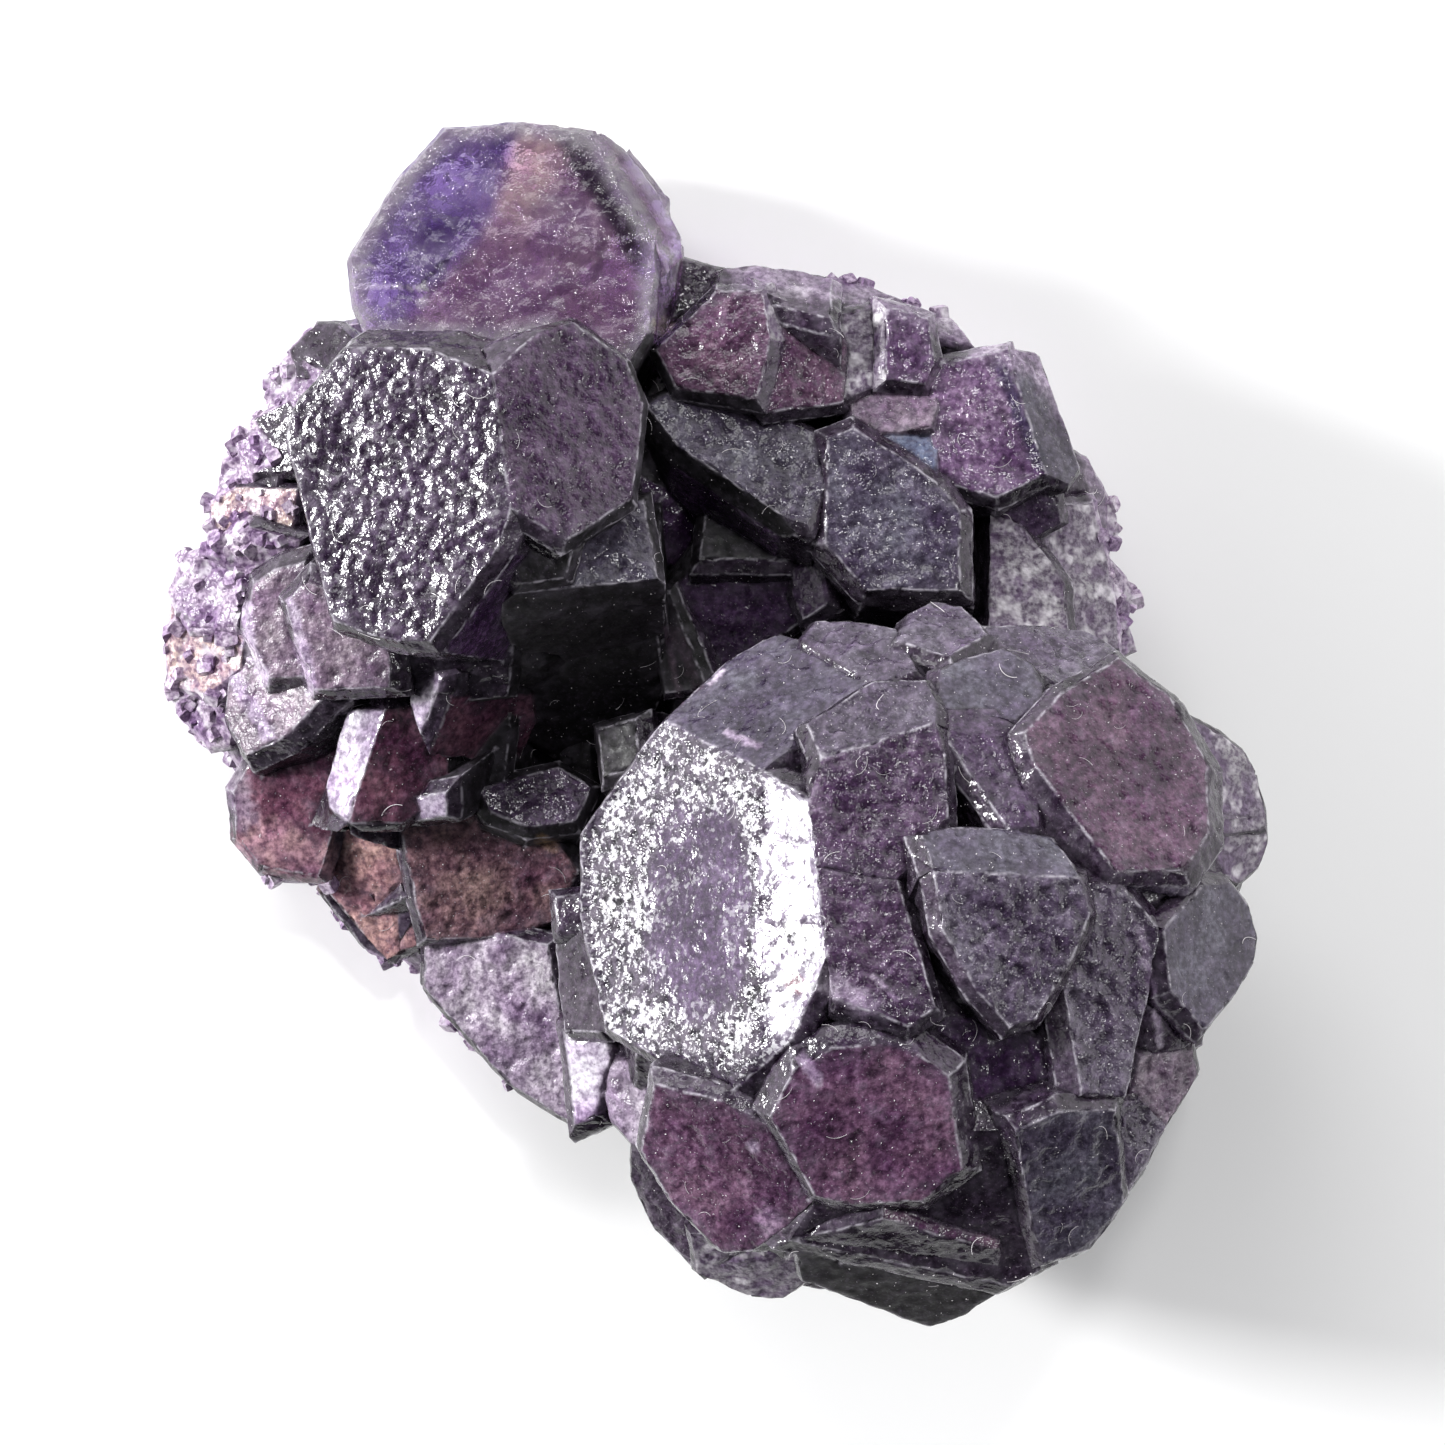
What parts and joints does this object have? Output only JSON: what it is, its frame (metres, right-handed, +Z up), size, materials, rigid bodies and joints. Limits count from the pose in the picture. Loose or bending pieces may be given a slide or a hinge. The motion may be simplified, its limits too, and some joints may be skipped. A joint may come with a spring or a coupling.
{
  "type": "fluorite crystal cluster",
  "caption": "Intergrown cluster of dark purple fluorite crystals with a rounded ball of facets at one end, lying on the flat cut of its back.",
  "frame": {"origin": "middle of the flat resting cut on the back of the specimen", "axes": "+Z up out of the resting cut towards the crystal faces, +Y towards the large clearer crystal, +X to the right of someone looking down with +Y away from them"},
  "size_m": [0.0707, 0.075, 0.0421],
  "materials": {
    "fluorite": "glassy with etched faces"
  },
  "bodies": {
    "root": {"fluorite_cluster": "fluorite"}
  },
  "joints": []
}
